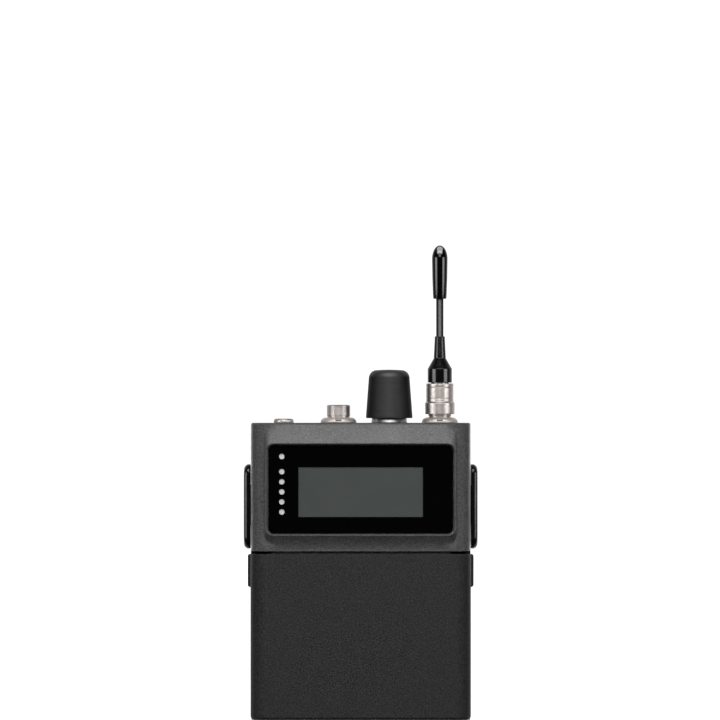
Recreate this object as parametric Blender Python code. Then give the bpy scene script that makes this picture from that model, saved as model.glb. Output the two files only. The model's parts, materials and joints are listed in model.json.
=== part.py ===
"""Wireless bodypack: a belt-worn radio with a display, a push-and-turn knob, a screw-on antenna,
a hinged battery door with two squeeze latches, and a belt clip that swings on the housing's sides.

Frame: +Z up, the display faces -Y, and the origin is the centre of the flat bottom.
Every size is in millimetres. MM turns it into Blender's metres where a mesh is made.
A "(first, last)" pair is a span along one axis, and outlines are lists of 2-D points.
"""

import math

import bmesh
import bpy
from mathutils import Vector

MM = 0.001

# Whole body
BODY_HALF_W, BODY_HALF_D, BODY_H = 32.0, 10.0, 86.6
CORNER_R = 4.5
WALL = 1.6
GAP = 0.3
REST_GAP = 0.05
TOP = BODY_H + REST_GAP

# The seam between the upper housing and the battery door
SEAM_Z = 49.3
DOOR_TOP = SEAM_Z - 0.8
SPLIT_Y = 3.0
DOOR_WALL = 1.5

# Upper housing
CAVITY_HALF_W, CAVITY_FRONT_Y = 30.4, -8.4
CAVITY_Z = (SEAM_Z + WALL, BODY_H - WALL)
PLATE_FRONT_Y = 8.4

# Display window. The rim slopes down to the front face: (y, side reach, lower reach, upper reach, corner)
WINDOW_Z = 67.25
WINDOW_HALF = (27.1, 13.0)
RIM_HALF = (27.8, 13.55)
RIM_FRONT_Y = -11.66
RIM_SLOPE = ((-11.56, 0.0, 0.0, 0.0, 2.3), (-11.17, 0.04, 0.65, 1.15, 2.6), (-10.65, 0.08, 1.6, 2.85, 3.1),
             (-10.0, 0.12, 3.0, 5.25, 3.6), (-9.0, 0.1, 3.0, 5.25, 3.6))
POCKET_FLOOR_Y = -9.8
LENS_Y = (-10.95, -10.15)
DISPLAY_OPENING = ((-25.0, 21.0), (57.5, 78.5))
LED_X = -22.95
LED_PITCH = 2.93
LED_ZS = [76.86] + [60.72 + LED_PITCH * i for i in range(5)]

# Places of the parts along the top, all on the body's mid plane
JACK_X, MIC_X, KNOB_X, ANTENNA_X = -22.44, -6.45, 8.31, 23.05
TOP_HOLES = ((JACK_X, 2.5), (MIC_X, 3.6), (KNOB_X, 3.6), (ANTENNA_X, 3.6))  # (x, radius)

# Belt clip
PIVOT_Y, PIVOT_Z = 1.5, 62.0
CLIP_SPAN_X = (32.1, 34.05)
CLIP_BACK_Y = (15.0, 16.4)

# Battery door hinge
HINGE_Y, HINGE_Z, KNUCKLE_R = 3.4, 1.6, 1.6
EAR_R, PIN_R, BORE_R = 2.6, 0.75, 0.95
BARREL_HALF = 21.7

# Battery bay
BATTERY_HALF_W, BATTERY_Y, BATTERY_Z = 24.0, (-6.0, 8.0), (3.6, 45.5)
CONTACT_XS = (-5.4, -1.8, 1.8, 5.4)
CONTACT_Y = 4.75
CHARGE_XS = (-6.0, 0.0, 6.0)
CHARGE_Y = 6.9

# Screws, each at (x, z)
PLATE_SCREWS = [(side * 28.2, z) for z in (53.6, 82.3) for side in (-1, 1)]
BOARD_SCREWS = [(-26.6, 56.0), (26.6, 78.5)]

# Door latches: they slide in by LATCH_TRAVEL against their springs
LATCH_Y, LATCH_Z = (-3.9, 1.2), (38.8, 48.4)
LATCH_OUTER_X = 32.9
SPRING_X, SPRING_CENTRE = (26.1, 29.15), (-1.5, 43.5)

MATERIALS = {  # base colour, roughness, metallic
    "housing_grey": ((0.13, 0.13, 0.13), 0.5, 0.6),
    "door_black": ((0.028, 0.028, 0.028), 0.55, 0.0),
    "soft_black": ((0.02, 0.02, 0.02), 0.7, 0.0),
    "gloss_black": ((0.006, 0.006, 0.007), 0.15, 0.0),
    "lens_black": ((0.002, 0.002, 0.002), 0.05, 0.0),
    "panel_grey": ((0.063, 0.07, 0.068), 0.4, 0.0),
    "light_pipe": ((0.55, 0.55, 0.55), 0.3, 0.0),
    "nickel": ((0.62, 0.59, 0.56), 0.25, 1.0),
    "gold": ((0.83, 0.62, 0.26), 0.25, 1.0),
    "steel": ((0.45, 0.45, 0.45), 0.3, 1.0),
    "board_green": ((0.01, 0.09, 0.04), 0.4, 0.0),
    "battery_grey": ((0.05, 0.052, 0.055), 0.5, 0.0),
    "seal_rubber": ((0.015, 0.015, 0.015), 0.8, 0.0),
}


# Outlines --------------------------------------------------------------------------------------


def arc(centre, radius, first, last, steps):
    """Points on an arc, from angle first to angle last in degrees."""
    angles = [math.radians(first + (last - first) * i / steps) for i in range(steps + 1)]
    return [(centre[0] + radius * math.cos(a), centre[1] + radius * math.sin(a)) for a in angles]


def circle(radius, centre=(0.0, 0.0), steps=24):
    return arc(centre, radius, 0, 360, steps)[:-1]


def rounded_rect(half_w, half_h, radius, centre=(0.0, 0.0), steps=6):
    points = []
    for quarter, (side_u, side_v) in enumerate(((1, 1), (-1, 1), (-1, -1), (1, -1))):
        corner = (centre[0] + side_u * (half_w - radius), centre[1] + side_v * (half_h - radius))
        points += arc(corner, radius, 90 * quarter, 90 * quarter + 90, steps)
    return points


def rectangle(span_u, span_v):
    return [(span_u[0], span_v[0]), (span_u[1], span_v[0]), (span_u[1], span_v[1]), (span_u[0], span_v[1])]


def plan(inset, half_w=BODY_HALF_W):
    """The body's outline seen from above, moved in by inset."""
    return rounded_rect(half_w - inset, BODY_HALF_D - inset, CORNER_R - inset, steps=7)


# Solids ----------------------------------------------------------------------------------------


def material(name):
    found = bpy.data.materials.get(name)
    if found:
        return found
    colour, roughness, metallic = MATERIALS[name]
    made = bpy.data.materials.new(name)
    made.use_nodes = True
    shader = made.node_tree.nodes["Principled BSDF"]
    shader.inputs["Base Color"].default_value = (*colour, 1.0)
    shader.inputs["Roughness"].default_value = roughness
    shader.inputs["Metallic"].default_value = metallic
    return made


def add_object(name, mesh_source, look):
    """Makes an object from a bmesh in millimetres, with its faces pointing out."""
    bmesh.ops.recalc_face_normals(mesh_source, faces=mesh_source.faces)
    bmesh.ops.scale(mesh_source, vec=(MM, MM, MM), verts=mesh_source.verts)
    mesh = bpy.data.meshes.new(name)
    mesh_source.to_mesh(mesh)
    mesh_source.free()
    made = bpy.data.objects.new(name, mesh)
    bpy.context.scene.collection.objects.link(made)
    if look:
        mesh.materials.append(material(look))
        mesh.shade_smooth()
        mesh.set_sharp_from_angle(angle=math.radians(35))
    return made


def in_space(axis, along, point):
    """A 2-D outline point in space: X takes (y, z), Y takes (x, z) and Z takes (x, y)."""
    u, v = point
    return {"X": (along, u, v), "Y": (u, along, v), "Z": (u, v, along)}[axis]


def stack(name, axis, sections, look=None):
    """A solid through (position, outline) sections along an axis. The outlines have as many points."""
    shape = bmesh.new()
    rings = [[shape.verts.new(in_space(axis, at, p)) for p in outline] for at, outline in sections]
    count = len(rings[0])
    for low, high in zip(rings, rings[1:]):
        for i in range(count):
            j = (i + 1) % count
            shape.faces.new((low[i], low[j], high[j], high[i]))
    shape.faces.new(rings[0])
    shape.faces.new(rings[-1])
    return add_object(name, shape, look)


def prism(name, axis, span, outline, look=None):
    return stack(name, axis, [(span[0], outline), (span[1], outline)], look)


def box(name, span_x, span_y, span_z, look=None):
    return prism(name, "Z", span_z, rectangle(span_x, span_y), look)


def turned(name, profile, centre, look=None, steps=32):
    """Spins a (radius, z) profile about the vertical through centre. Off the axis, it makes a ring."""
    shape = bmesh.new()
    points = [shape.verts.new((radius, 0.0, z)) for radius, z in profile]
    edges = [shape.edges.new(pair) for pair in zip(points, points[1:])]
    if profile[0][0] > 0:
        edges.append(shape.edges.new((points[-1], points[0])))
    line = points + edges
    bmesh.ops.spin(
        shape, geom=line, cent=(0, 0, 0), axis=(0, 0, 1), angle=math.tau, steps=steps, use_merge=True
    )
    bmesh.ops.remove_doubles(shape, verts=shape.verts, dist=1e-5)
    bmesh.ops.translate(shape, verts=shape.verts, vec=(centre[0], centre[1], 0.0))
    return add_object(name, shape, look)


def boolean(target, tool, operation):
    """Adds a Boolean that uses tool, which then only helps to shape target."""
    modifier = target.modifiers.new(tool.name, "BOOLEAN")
    modifier.operation = operation
    modifier.solver = "EXACT"
    modifier.object = tool
    tool.hide_render = True
    tool.display_type = "WIRE"


def cut(target, *tools):
    for tool in tools:
        boolean(target, tool, "DIFFERENCE")


def join(target, *tools):
    for tool in tools:
        boolean(target, tool, "UNION")


def both_sides(name, make):
    """Calls make(name, side) for the left (-1) and the right (1) side."""
    return [make(f"{name}_left", -1), make(f"{name}_right", 1)]


def side_span(side, near, far):
    """The x span from near to far, measured outwards on one side."""
    return (side * near, side * far) if side > 0 else (side * far, side * near)


def rides_on(pivot, *pieces, parent=None):
    """Hangs the pieces on an empty at the pivot, which is a point of the joint's axis."""
    name, place = pivot
    empty = bpy.data.objects.new(name, None)
    bpy.context.scene.collection.objects.link(empty)
    world = Vector(place) * MM
    empty.location = world - (parent.location if parent else Vector())
    empty.parent = parent
    for piece in pieces:
        piece.parent = empty
        piece.location = -world
    return empty


# The chassis: upper housing and battery tray in one casting ------------------------------------------


def window_rim():
    """The frame round the display, in a hollow curve down to the front face above and below it."""
    edge = rounded_rect(RIM_HALF[0] - 0.08, RIM_HALF[1] - 0.08, 2.3, (0.0, WINDOW_Z))
    sections = [(RIM_FRONT_Y, edge)]
    for y, beside, below, above, corner in RIM_SLOPE:
        half_h = RIM_HALF[1] + (below + above) / 2
        centre = (0.0, WINDOW_Z + (above - below) / 2)
        sections.append((y, rounded_rect(RIM_HALF[0] + beside, half_h, corner, centre)))
    return stack("window_rim", "Y", sections)


def hinge_ear(name, side):
    """The round cheek that holds the outer end of a hinge pin, cut flat at the bottom."""
    dip = math.degrees(math.asin(HINGE_Z / EAR_R))
    outline = arc((HINGE_Y, HINGE_Z), EAR_R, -dip, 180 + dip, 18)
    return prism(name, "X", side_span(side, 30.5, BODY_HALF_W - 0.1), outline)


def battery_rib(name, side):
    return box(name, side_span(side, 24.4, 25.2), (3.6, 8.7), (8.0, 40.0))


def plate_boss_span(screw_z):
    """The low screws' bosses stand on the seam's wall, and the high ones hang from the top wall."""
    return (50.5, 55.6) if screw_z < WINDOW_Z else (80.3, 85.4)


def chassis_additions():
    parts = [window_rim()]
    parts += both_sides("hinge_ear", hinge_ear)
    barrel = circle(KNUCKLE_R, (HINGE_Y, HINGE_Z), 20)
    parts.append(prism("hinge_barrel", "X", (-BARREL_HALF, BARREL_HALF), barrel))
    parts.append(box("seam_lip", (-26, 26), (-8.2, -7.2), (47.2, 50.0)))
    parts += both_sides("battery_rib", battery_rib)
    for number, (x, z) in enumerate(PLATE_SCREWS):
        near, far = sorted((math.copysign(26.2, x), math.copysign(30.8, x)))
        parts.append(box(f"plate_boss_{number}", (near, far), (3.0, 8.1), plate_boss_span(z)))
    for number, place in enumerate(BOARD_SCREWS):
        parts.append(prism(f"board_boss_{number}", "Y", (-8.7, -5.6), circle(1.9, place, 16)))
    return parts


def chassis_cuts():
    """The door's space below the seam, the battery tray behind it, and the cavity, open to the back."""
    far = 20.0
    tray = rounded_rect(30.5, 10.2, 3.0, (0, PLATE_FRONT_Y - 10.2))
    cavity_half_d = (far - CAVITY_FRONT_Y) / 2
    cavity = rounded_rect(CAVITY_HALF_W, cavity_half_d, 3.0, (0, far - cavity_half_d))
    return [
        box("door_space", (-40, 40), (-far, SPLIT_Y), (-5, SEAM_Z)),
        prism("tray_hollow", "Z", (WALL, SEAM_Z), tray),
        prism("cavity", "Z", CAVITY_Z, cavity),
    ]


def window_pocket():
    """The recess for the lens, with a slope round its mouth."""
    mouth = (WINDOW_HALF[0] + 0.42, WINDOW_HALF[1] + 0.3)
    outer = rounded_rect(*mouth, 2.1, (0, WINDOW_Z))
    inner = rounded_rect(*WINDOW_HALF, 1.9, (0, WINDOW_Z))
    sections = [(-13, outer), (RIM_FRONT_Y, outer), (RIM_FRONT_Y + 0.35, inner), (POCKET_FLOOR_Y, inner)]
    return stack("window_pocket", "Y", sections)


def knuckle_space(name, side):
    return box(name, side_span(side, BARREL_HALF, 30.5), (2.9, 5.7), (-1, 1.75))


def keeper(name, side):
    """The notch that a latch's tooth enters."""
    return box(name, side_span(side, 30.3, 31.1), (3.7, 5.3), (41, 46))


def hinge_bore(name, side):
    return prism(name, "X", side_span(side, 17, 36), circle(BORE_R, (HINGE_Y, HINGE_Z), 16))


def chassis_openings():
    cuts = [
        window_pocket(),
        box("display_opening", DISPLAY_OPENING[0], (-12, -8), DISPLAY_OPENING[1]),
        prism("clip_holes", "X", (-36, 36), circle(1.6, (PIVOT_Y, PIVOT_Z), 20)),
        box("contact_slot", (-8, 8), (2.5, 7.0), (48, 52)),
    ]
    for number, (x, radius) in enumerate(TOP_HOLES):
        cuts.append(prism(f"top_hole_{number}", "Z", (84, 88), circle(radius, (x, 0))))
    for name, shape in (("knuckle_space", knuckle_space), ("keeper", keeper), ("hinge_bore", hinge_bore)):
        cuts += both_sides(name, shape)
    for number, (x, z) in enumerate(PLATE_SCREWS):
        cuts.append(prism(f"plate_pilot_{number}", "Y", (3.5, 9), circle(1.1, (x, z), 12)))
    for number, place in enumerate(BOARD_SCREWS):
        cuts.append(prism(f"board_pilot_{number}", "Y", (-8, -5), circle(1.0, place, 12)))
    for number, x in enumerate(CHARGE_XS):
        cuts.append(prism(f"charge_hole_{number}", "Z", (-1, 2.5), circle(1.5, (x, CHARGE_Y), 20)))
    return cuts


def make_chassis():
    sections = [(0, plan(1.1)), (0.35, plan(0.35)), (1.1, plan(0))]
    sections += [(BODY_H - 0.35, plan(0)), (BODY_H, plan(0.35))]
    chassis = stack("chassis", "Z", sections, "housing_grey")
    cut(chassis, *chassis_cuts())
    join(chassis, *chassis_additions())
    cut(chassis, *chassis_openings())
    return chassis


def make_rear_plate():
    outline = rounded_rect(30.1, 16.75, 1.5, (0, 67.95), 4)
    plate = prism("rear_plate", "Y", (PLATE_FRONT_Y, BODY_HALF_D), outline, "housing_grey")
    for number, (x, z) in enumerate(PLATE_SCREWS):
        sections = [(y, circle(r, (x, z), 16)) for y, r in ((8, 1.3), (8.9, 1.3), (9.7, 2.2), (11, 2.2))]
        cut(plate, stack(f"plate_sink_{number}", "Y", sections))
    return plate


def make_plate_screw(number, x, z):
    """A countersunk screw with a cross slot, its head just under the plate's back."""
    sections = [(y, circle(r, (x, z), 16)) for y, r in ((4.2, 0.8), (8.75, 0.8), (9.55, 1.95), (9.85, 1.95))]
    screw = stack(f"plate_screw_{number + 1}", "Y", sections, "steel")
    cut(screw, box(f"plate_slot_a_{number}", (x - 1.2, x + 1.2), (9.3, 11), (z - 0.2, z + 0.2)))
    cut(screw, box(f"plate_slot_b_{number}", (x - 0.2, x + 0.2), (9.3, 11), (z - 1.2, z + 1.2)))
    return screw


# The battery door, its latches, springs and hinge pins -------------------------------------------


def door_shell():
    """The door's tray shape, cut off flat where it meets the chassis."""
    width = BODY_HALF_W + 0.1
    sections = [(0, plan(1.1, width)), (0.35, plan(0.35, width)), (1.1, plan(0, width))]
    sections += [(DOOR_TOP - 0.25, plan(0, width)), (DOOR_TOP, plan(0.25, width))]
    shell = stack("battery_door", "Z", sections, "door_black")
    hollow = rounded_rect(width - DOOR_WALL, 14.0, 3.0, (0, 14.0 - BODY_HALF_D + DOOR_WALL))
    cut(shell, prism("door_hollow", "Z", (DOOR_WALL, 60), hollow))
    cut(shell, box("door_back", (-40, 40), (SPLIT_Y - GAP, 20), (-1, 60)))
    return shell


def door_clearances():
    """Space for the chassis's barrel along the bottom edge and for its ears at the corners."""
    slant = [(HINGE_Y - 2.2, -1.0), (HINGE_Y - 2.2, 0.0), (HINGE_Y - 1.95, DOOR_WALL), (HINGE_Y - 1.95, 3.0)]
    slant += [(20.0, 3.0), (20.0, -1.0)]
    return [prism("bottom_edge", "X", (-30.4, 30.4), slant), *both_sides("ear_space", ear_space)]


def ear_space(name, side):
    return prism(name, "X", side_span(side, 30.2, 36), circle(EAR_R + GAP, (HINGE_Y, HINGE_Z), 28))


def door_knuckle(name, side):
    return prism(name, "X", side_span(side, 22.0, 30.1), circle(KNUCKLE_R, (HINGE_Y, HINGE_Z), 20))


def knuckle_arm(name, side):
    return box(name, side_span(side, 22.0, 30.1), (0.4, HINGE_Y), (0.0, DOOR_WALL - 0.05))


def spring_rib(name, side):
    return box(name, side_span(side, 25.2, 25.9), (-9.0, 1.0), (41.0, 46.0))


def door_bore(name, side):
    return prism(name, "X", side_span(side, 21.0, 31.0), circle(BORE_R, (HINGE_Y, HINGE_Z), 16))


def latch_notch(name, side):
    return box(name, side_span(side, 30.3, 36), (-4.2, 1.5), (38.5, 60))


def make_door():
    door = door_shell()
    cut(door, *door_clearances())
    added = (("door_knuckle", door_knuckle), ("knuckle_arm", knuckle_arm), ("spring_rib", spring_rib))
    for name, shape in added:
        join(door, *both_sides(name, shape))
    for name, shape in (("door_bore", door_bore), ("latch_notch", latch_notch)):
        cut(door, *both_sides(name, shape))
    return door


def make_latch(side):
    """A squeeze latch: the ear outside, a flange that keeps it in the door, and an arm with a tooth."""
    name = "latch_left" if side < 0 else "latch_right"
    pad_y = (LATCH_Y[0] + LATCH_Y[1]) / 2
    pad_z = (LATCH_Z[0] + LATCH_Z[1]) / 2
    half = ((LATCH_Y[1] - LATCH_Y[0]) / 2, (LATCH_Z[1] - LATCH_Z[0]) / 2)
    sections = [
        (side * 29.7, rounded_rect(half[0], half[1], 0.4, (pad_y, pad_z), 3)),
        (side * (LATCH_OUTER_X - 0.6), rounded_rect(half[0], half[1], 0.4, (pad_y, pad_z), 3)),
        (side * (LATCH_OUTER_X - 0.2), rounded_rect(half[0] - 0.15, half[1] - 0.15, 0.4, (pad_y, pad_z), 3)),
        (side * LATCH_OUTER_X, rounded_rect(half[0] - 0.5, half[1] - 0.5, 0.3, (pad_y, pad_z), 3)),
    ]
    latch = stack(name, "X", sections, "door_black")
    join(latch, box(f"{name}_flange", side_span(side, 29.3, 30.3), (-4.9, 1.9), (37.9, 47.0)))
    join(latch, box(f"{name}_arm", side_span(side, 29.4, 30.15), (1.5, 5.0), (42.0, 45.0)))
    join(latch, box(f"{name}_tooth", side_span(side, 29.7, 30.35), (4.2, 4.9), (42.2, 44.8)))
    return latch


def make_latch_spring(side):
    """A coil spring along X, swept with closed ends."""
    name = "latch_spring_left" if side < 0 else "latch_spring_right"
    wire_r, coil_r, turns, per_turn = 0.2, 1.4, 4, 14
    curve = bpy.data.curves.new(name, "CURVE")
    curve.dimensions = "3D"
    curve.bevel_depth = wire_r * MM
    curve.bevel_resolution = 1
    curve.use_fill_caps = True
    line = curve.splines.new("POLY")
    count = turns * per_turn + 1
    line.points.add(count - 1)
    first, last = SPRING_X[0] + wire_r, SPRING_X[1] - wire_r
    for i, point in enumerate(line.points):
        angle = math.tau * i / per_turn
        x = side * (first + (last - first) * i / (count - 1))
        y = SPRING_CENTRE[0] + coil_r * math.cos(angle)
        z = SPRING_CENTRE[1] + coil_r * math.sin(angle)
        point.co = (x * MM, y * MM, z * MM, 1.0)
    curve.materials.append(material("steel"))
    made = bpy.data.objects.new(name, curve)
    bpy.context.scene.collection.objects.link(made)
    return made


def make_hinge_pin(name, side):
    return prism(name, "X", side_span(side, 17.4, 31.6), circle(PIN_R, (HINGE_Y, HINGE_Z), 16), "steel")


# Battery and its contacts ----------------------------------------------------------------------------


def make_battery():
    half_d = (BATTERY_Y[1] - BATTERY_Y[0]) / 2
    centre = (0.0, (BATTERY_Y[0] + BATTERY_Y[1]) / 2)

    def ring(inset):
        return rounded_rect(BATTERY_HALF_W - inset, half_d - inset, 2.0 - inset, centre, 4)

    low, high = BATTERY_Z
    sections = [(low, ring(0.4)), (low + 0.4, ring(0)), (high - 0.4, ring(0)), (high, ring(0.4))]
    pack = stack("battery_pack", "Z", sections, "battery_grey")
    cut(pack, box("terminal_pocket", (-7.6, 7.6), (3.0, 6.5), (high - 1.2, high + 1)))
    return pack


def make_battery_terminals():
    """The battery's four contact pads, on one lead frame."""
    frame = box("battery_terminals", (-7.2, 7.2), (3.3, 6.2), (44.6, 45.0), "gold")
    for number, x in enumerate(CONTACT_XS):
        join(frame, box(f"terminal_pad_{number}", (x - 1.2, x + 1.2), (3.5, 6.0), (44.9, 45.55)))
    return frame


def make_contact_block():
    block = box("contact_block", (-7.5, 7.5), (2.8, 6.7), (46.3, 52.0), "soft_black")
    join(block, box("block_flange", (-9, 9), (1.9, 7.6), (51.2, 52.6)))
    for number, x in enumerate(CONTACT_XS):
        cut(block, prism(f"contact_bore_{number}", "Z", (45, 49), circle(0.85, (x, CONTACT_Y), 12)))
    return block


def make_contact_pin(number, x):
    """A sprung pin with a round tip that presses on a battery pad."""
    profile = [(0, 45.7), (0.3, 45.75), (0.6, 46.1), (0.6, 48.7), (0, 48.7)]
    return turned(f"contact_pin_{number + 1}", profile, (x, CONTACT_Y), "gold", 12)


def make_charge_contact(number, x):
    profile = [(0, 0.12), (1.0, 0.12), (1.2, 0.3), (1.2, 2.4), (0, 2.4)]
    return turned(f"charge_contact_{number + 1}", profile, (x, CHARGE_Y), "gold", 16)


# Display group and boards ----------------------------------------------------------------------------


def make_window_lens():
    def ring(inset):
        half = (WINDOW_HALF[0] - GAP - inset, WINDOW_HALF[1] - GAP - inset)
        return rounded_rect(*half, 1.7 - inset, (0, WINDOW_Z))

    front, back = LENS_Y
    sections = [(front, ring(0.25)), (front + 0.25, ring(0)), (back, ring(0))]
    return stack("window_lens", "Y", sections, "lens_black")


def make_lens_gasket():
    """The adhesive frame between the lens and the pocket's floor."""
    outline = rounded_rect(26.6, 12.5, 1.5, (0, WINDOW_Z), 4)
    gasket = prism("lens_gasket", "Y", (LENS_Y[1] + 0.05, POCKET_FLOOR_Y - 0.05), outline, "seal_rubber")
    cut(gasket, box("gasket_opening", DISPLAY_OPENING[0], (-12, -9), DISPLAY_OPENING[1]))
    return gasket


def make_light_guide():
    """A clear bar with one post for each status light, ending just behind the lens."""
    guide = box("light_guide", (-24, -21.9), (-9.6, -7.9), (59, 78.2), "light_pipe")
    for number, z in enumerate(LED_ZS):
        join(guide, prism(f"led_post_{number}", "Y", (LENS_Y[1] + 0.05, -8.5), circle(0.95, (LED_X, z), 16)))
    return guide


def make_display_panel():
    return box("display_panel", (-19.4, 20.4), (LENS_Y[1] + 0.05, -7.6), (58.0, 75.6), "panel_grey")


def make_display_ribbon():
    """A flat cable in a U bend from the panel's back to the board."""
    centre = (-6.55, 55.6)
    outline = arc(centre, 0.95, 180, 360, 8) + [(-5.6, 60.0), (-5.8, 60.0)] + arc(centre, 0.75, 360, 180, 8)
    outline += [(-7.3, 60.0), (-7.5, 60.0)]
    return prism("display_ribbon", "X", (-5, 6), outline, "gold")


def make_main_board():
    board = prism("main_board", "Y", (-5.4, -4.4), rounded_rect(28.4, 15.3, 1.2, (0, 67.7), 3), "board_green")
    for number, place in enumerate(BOARD_SCREWS):
        cut(board, prism(f"board_hole_{number}", "Y", (-7, -3), circle(1.15, place, 14)))
    return board


def make_board_screw(number, place):
    profile = ((-7.7, 0.75), (-4.36, 0.75), (-4.35, 1.6), (-3.3, 1.5))
    sections = [(y, circle(r, place, 14)) for y, r in profile]
    return stack(f"board_screw_{number + 1}", "Y", sections, "steel")


def make_shield_can():
    can = box("rf_shield", (-17, 12), (-4.35, -1.6), (54, 71), "nickel")
    cut(can, box("shield_hollow", (-16.6, 11.6), (-5, -2.0), (54.4, 70.6)))
    return can


def make_antenna_coax():
    """A thin cable from the antenna socket down to the board."""
    curve = bpy.data.curves.new("antenna_coax", "CURVE")
    curve.dimensions = "3D"
    curve.bevel_depth = 0.6 * MM
    curve.bevel_resolution = 2
    curve.resolution_u = 5
    curve.use_fill_caps = True
    line = curve.splines.new("BEZIER")
    path = [(ANTENNA_X, 0.0, 77.2), (21.0, 0.8, 70.0), (17.0, -3.2, 64.5)]
    line.bezier_points.add(len(path) - 1)
    for point, place in zip(line.bezier_points, path):
        point.co = Vector(place) * MM
        point.handle_left_type = point.handle_right_type = "AUTO"
    curve.materials.append(material("soft_black"))
    made = bpy.data.objects.new("antenna_coax", curve)
    bpy.context.scene.collection.objects.link(made)
    return made


# Parts along the top ---------------------------------------------------------------------------------


def make_ring_nut(name, x, bore_r):
    """A low nickel nut with a domed shoulder and four spanner slots."""
    profile = [(bore_r, TOP), (5.25, TOP), (5.25, TOP + 0.7), (4.85, TOP + 1.3), (4.15, TOP + 1.6)]
    profile.append((bore_r, TOP + 1.65))
    nut = turned(name, profile, (x, 0), "nickel")
    across, negative, positive = (-0.9, 0.9), (-7, -4.3), (4.3, 7)
    slots = ((across, negative), (across, positive), (negative, across), (positive, across))
    for number, (span_x, span_y) in enumerate(slots):
        slot_x = (x + span_x[0], x + span_x[1])
        cut(nut, box(f"{name}_slot_{number}", slot_x, span_y, (TOP + 0.5, TOP + 3)))
    return nut


def make_jack_collar():
    profile = [(1.8, 83.0), (2.2, 83.0), (2.2, TOP), (2.93, TOP), (2.93, TOP + 0.75), (2.55, TOP + 1.2)]
    profile.append((1.8, TOP + 1.2))
    return turned("jack_collar", profile, (JACK_X, 0), "nickel")


def make_headphone_jack():
    jack = box("headphone_jack", (JACK_X - 3.6, JACK_X + 3.6), (-3.3, 3.3), (71.5, 84.8), "soft_black")
    cut(jack, prism("jack_bore", "Z", (73, 90), circle(1.8, (JACK_X, 0))))
    cut(jack, prism("jack_seat", "Z", (82.7, 90), circle(2.5, (JACK_X, 0))))
    return jack


def make_mic_shell():
    """The threaded collar of the microphone connector, with a flange under the top wall."""
    top = BODY_H + 5.25
    profile = [(2.6, 79.5), (3.3, 79.5), (3.3, 82.0), (4.1, 82.0), (4.1, 84.7), (3.3, 84.7), (3.3, 88.5)]
    profile += [(3.45, 88.7), (3.45, top - 0.25), (3.2, top), (2.6, top)]
    return turned("mic_shell", profile, (MIC_X, 0), "nickel")


def mic_contact_places():
    return [(MIC_X + x, y) for x, y in arc((0.0, 0.0), 1.2, 90, 330, 2)]


def make_mic_insulator():
    profile = [(0, 80.0), (2.35, 80.0), (2.35, 89.6), (0, 89.6)]
    insulator = turned("mic_insulator", profile, (MIC_X, 0), "soft_black", 24)
    for number, place in enumerate(mic_contact_places()):
        cut(insulator, prism(f"mic_bore_{number}", "Z", (79, 91), circle(0.55, place, 12)))
    return insulator


def make_mic_contact(number, place):
    profile = [(0, 77.5), (0.35, 77.5), (0.35, 90.7), (0.2, 91.0), (0, 91.0)]
    return turned(f"mic_contact_{number + 1}", profile, place, "gold", 10)


def make_knob():
    """A tapered cap with a round shoulder, hollow underneath where it covers the collar."""
    skirt_r, shoulder_r, round_r = 6.8, 5.95, 2.4
    low, high = 87.95, 102.1
    shoulder = arc((shoulder_r - round_r, high - round_r - 0.15), round_r, 4, 84, 6)
    profile = [(5.55, low), (skirt_r - 0.2, low), (skirt_r, low + 0.25), *shoulder, (0.0, high)]
    profile = [(0.0, 99.3), (2.0, 99.3), (2.0, 91.0), (5.4, 91.0)] + profile
    return turned("knob", profile, (KNOB_X, 0), "soft_black", 40)


def make_knob_shaft():
    return turned("knob_shaft", [(0, 79.0), (1.85, 79.0), (1.85, 99.0), (0, 99.0)], (KNOB_X, 0), "steel", 20)


def make_knob_collar():
    profile = [(2.45, 83.0), (3.3, 83.0), (3.3, TOP), (5.25, TOP), (5.25, TOP + 1.6), (4.6, TOP + 2.2)]
    profile.append((2.45, TOP + 2.2))
    return turned("knob_collar", profile, (KNOB_X, 0), "steel")


def make_knob_seal():
    profile = [(1.98, 87.2), (2.32, 87.2), (2.32, 87.9), (1.98, 87.9)]
    return turned("knob_seal", profile, (KNOB_X, 0), "seal_rubber", 20)


def make_encoder_body():
    body = box("encoder_body", (KNOB_X - 5.5, KNOB_X + 5.5), (-3.8, 5.2), (74.5, 84.8), "soft_black")
    cut(body, prism("encoder_bore", "Z", (76.2, 90), circle(2.2, (KNOB_X, 0), 20)))
    cut(body, prism("encoder_seat", "Z", (82.7, 90), circle(3.6, (KNOB_X, 0), 20)))
    return body


def make_encoder_plunger():
    """The press contact under the shaft."""
    profile = [(0, 77.2), (1.9, 77.2), (1.9, 78.8), (0, 78.8)]
    return turned("encoder_plunger", profile, (KNOB_X, 0), "gold", 20)


def make_antenna_socket():
    profile = [(2.5, 80.0), (3.2, 80.0), (3.2, 82.0), (4.1, 82.0), (4.1, 84.7), (3.3, 84.7), (3.3, 88.5)]
    profile += [(3.35, 88.7), (3.35, 92.8), (3.1, 93.0), (2.5, 93.0)]
    return turned("antenna_socket", profile, (ANTENNA_X, 0), "nickel")


def make_antenna_insulator():
    profile = [(0.65, 80.2), (2.35, 80.2), (2.35, 87.6), (0.65, 87.6)]
    return turned("antenna_insulator", profile, (ANTENNA_X, 0), "light_pipe", 20)


def make_antenna_pin():
    profile = [(0, 78.0), (0.45, 78.0), (0.45, 90.8), (0, 91.1)]
    return turned("antenna_pin", profile, (ANTENNA_X, 0), "gold", 12)


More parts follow.
